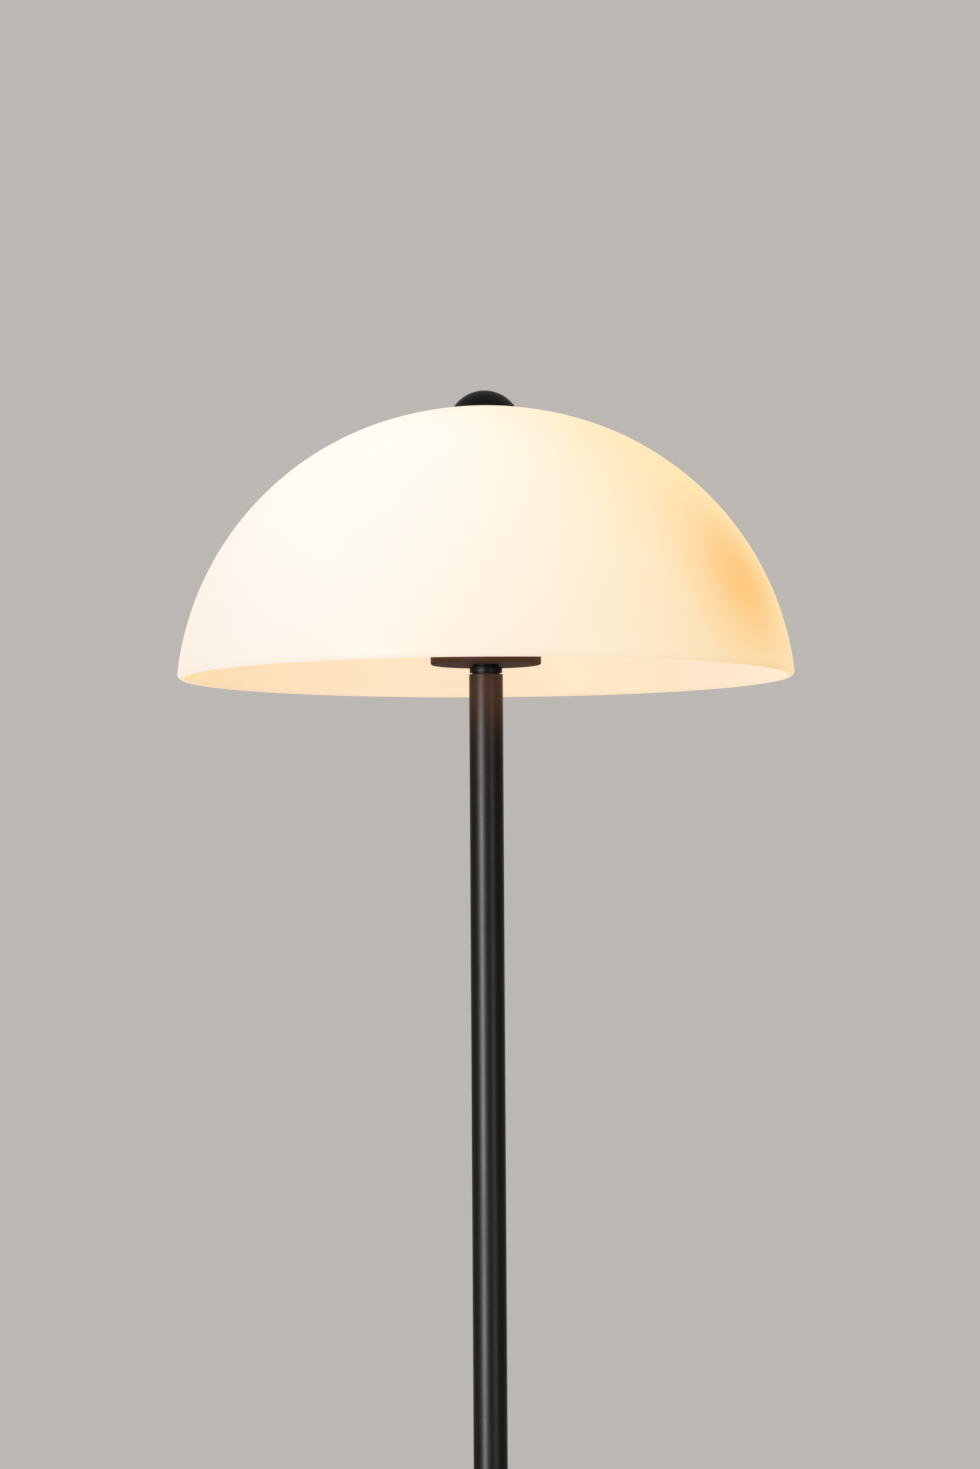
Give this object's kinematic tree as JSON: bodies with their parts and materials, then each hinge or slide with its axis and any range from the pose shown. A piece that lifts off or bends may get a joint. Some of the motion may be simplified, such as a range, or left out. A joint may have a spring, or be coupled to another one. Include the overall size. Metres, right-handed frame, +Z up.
{
  "type": "mushroom floor lamp",
  "caption": "Floor lamp with an opal glass dome shade held by a domed finial, a round pan and ringed neck, a plain black tube pole and a low round weighted base.",
  "frame": {"origin": "centre of the base's underside, on the floor", "axes": "+Z up along the pole, +Y towards the back, where the cord enters; +X to the right"},
  "size_m": [0.4, 0.3999, 1.5],
  "materials": {
    "opal_glass": "opal white, polished, lit from inside",
    "black_metal": "semi-gloss black lacquer, warm in the light",
    "cast_iron": "rough cast, painted grey",
    "zinc_steel": "zinc-plated",
    "brass": "plain brass",
    "cast_hub": "semi-gloss black lacquer on a casting",
    "holder_plastic": "black moulded thermoset",
    "bulb_glass": "frosted diffuser, lit",
    "bulb_plastic": "white moulded",
    "bulb_insulator": "black glass insulator with a tinned tip",
    "felt": "black wool felt",
    "soft_pad": "pale silicone",
    "nylon": "natural nylon",
    "black_nylon": "black nylon",
    "flex": "black PVC sheath",
    "lead": "white heat-proof sleeve"
  },
  "bodies": {
    "stand": {"access_plate": "zinc_steel", "access_screws": "zinc_steel", "base_block": "nylon", "base_cover": "black_metal", "base_felt": "felt", "base_weight": "cast_iron", "centre_contacts": "brass", "centre_rod": "zinc_steel", "cluster_hub": "cast_hub", "cord_gland": "black_nylon", "foot_collar": "black_metal", "holder_cap_1": "holder_plastic", "holder_cap_2": "holder_plastic", "holder_cap_3": "holder_plastic", "holder_leads": "lead", "holder_nipples": "brass", "holder_skirt_1": "holder_plastic", "holder_skirt_2": "holder_plastic", "holder_skirt_3": "holder_plastic", "joint_socket": "zinc_steel", "joint_spigot": "zinc_steel", "lamp_pan": "black_metal", "neck_collar": "black_metal", "pole_flex": "flex", "pole_foot_plug": "zinc_steel", "pole_lower_tube": "black_metal", "pole_upper_tube": "black_metal", "rod_nut": "zinc_steel", "rod_sleeve": "black_metal", "screw_shell_1": "brass", "screw_shell_2": "brass", "screw_shell_3": "brass", "seat_nut": "zinc_steel", "seat_pad": "soft_pad", "shade_seat": "black_metal", "terminal_ring": "bulb_plastic", "tie_nut": "zinc_steel", "tie_tube": "zinc_steel", "tie_washer": "zinc_steel"},
    "shade": {"glass_shade": "opal_glass", "glass_bush": "nylon"},
    "finial_rider": {"finial_washer": "zinc_steel"},
    "finial_nut": {"finial": "black_metal"},
    "bulb_1_tip": {"bulb_contact_1": "bulb_insulator"},
    "bulb_1": {"bulb_cap_1": "zinc_steel", "bulb_body_1": "bulb_plastic", "bulb_globe_1": "bulb_glass"},
    "bulb_2_tip": {"bulb_contact_2": "bulb_insulator"},
    "bulb_2": {"bulb_cap_2": "zinc_steel", "bulb_body_2": "bulb_plastic", "bulb_globe_2": "bulb_glass"},
    "bulb_3_tip": {"bulb_contact_3": "bulb_insulator"},
    "bulb_3": {"bulb_cap_3": "zinc_steel", "bulb_body_3": "bulb_plastic", "bulb_globe_3": "bulb_glass"}
  },
  "joints": [
    {"name": "shade_lift", "type": "slide", "parent": "stand", "child": "shade", "axis": [0, 0, 1], "range_m": [0, 0.2]},
    {"name": "finial_rise", "type": "slide", "parent": "shade", "child": "finial_rider", "axis": [0, 0, 1], "range_m": [0, 0.006]},
    {"name": "finial_turn", "type": "hinge", "parent": "finial_rider", "child": "finial_nut", "pos_m": [0, 0, 1.49], "axis": [0, 0, 1], "range_deg": [0, 2160]},
    {"name": "bulb_1_rise", "type": "slide", "parent": "stand", "child": "bulb_1_tip", "axis": [-0.2962, 0.8138, 0.5], "range_m": [0, 0.00846]},
    {"name": "bulb_1_turn", "type": "hinge", "parent": "bulb_1_tip", "child": "bulb_1", "pos_m": [-0.01333, 0.03662, 1.35955], "axis": [-0.2962, 0.8138, 0.5], "range_deg": [0, 1080]},
    {"name": "bulb_2_rise", "type": "slide", "parent": "stand", "child": "bulb_2_tip", "axis": [-0.5567, -0.6634, 0.5], "range_m": [0, 0.00846]},
    {"name": "bulb_2_turn", "type": "hinge", "parent": "bulb_2_tip", "child": "bulb_2", "pos_m": [-0.02505, -0.02985, 1.35955], "axis": [-0.5567, -0.6634, 0.5], "range_deg": [0, 1080]},
    {"name": "bulb_3_rise", "type": "slide", "parent": "stand", "child": "bulb_3_tip", "axis": [0.8529, -0.1504, 0.5], "range_m": [0, 0.00846]},
    {"name": "bulb_3_turn", "type": "hinge", "parent": "bulb_3_tip", "child": "bulb_3", "pos_m": [0.03838, -0.00677, 1.35955], "axis": [0.8529, -0.1504, 0.5], "range_deg": [0, 1080]}
  ],
  "couplings": [
    {"joint": "finial_rise", "follows": "finial_turn", "m_per_rad": 0.00015915},
    {"joint": "bulb_1_rise", "follows": "bulb_1_turn", "m_per_rad": 0.00044882},
    {"joint": "bulb_2_rise", "follows": "bulb_2_turn", "m_per_rad": 0.00044882},
    {"joint": "bulb_3_rise", "follows": "bulb_3_turn", "m_per_rad": 0.00044882}
  ]
}
